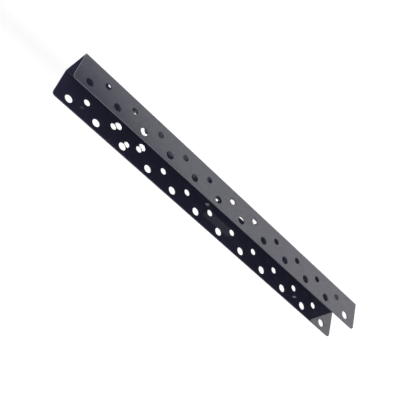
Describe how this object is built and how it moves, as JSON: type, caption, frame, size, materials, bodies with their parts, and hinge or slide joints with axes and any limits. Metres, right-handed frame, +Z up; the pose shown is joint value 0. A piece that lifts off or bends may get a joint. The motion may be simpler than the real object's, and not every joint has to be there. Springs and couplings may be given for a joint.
{
  "type": "tool rail",
  "caption": "Open-front channel folded from painted sheet steel, with round holes in line in both flanges that hold hand tools; screwed to a wall through its web.",
  "frame": {"origin": "middle of the wall face, half way along the rail and half way up it", "axes": "+X along the rail, to the right when facing the wall; +Y into the wall; +Z up"},
  "size_m": [0.597, 0.053, 0.0494],
  "materials": {
    "black_paint": "smooth gloss black paint on sheet steel"
  },
  "bodies": {
    "root": {"tool_rail": "black_paint"}
  },
  "joints": []
}
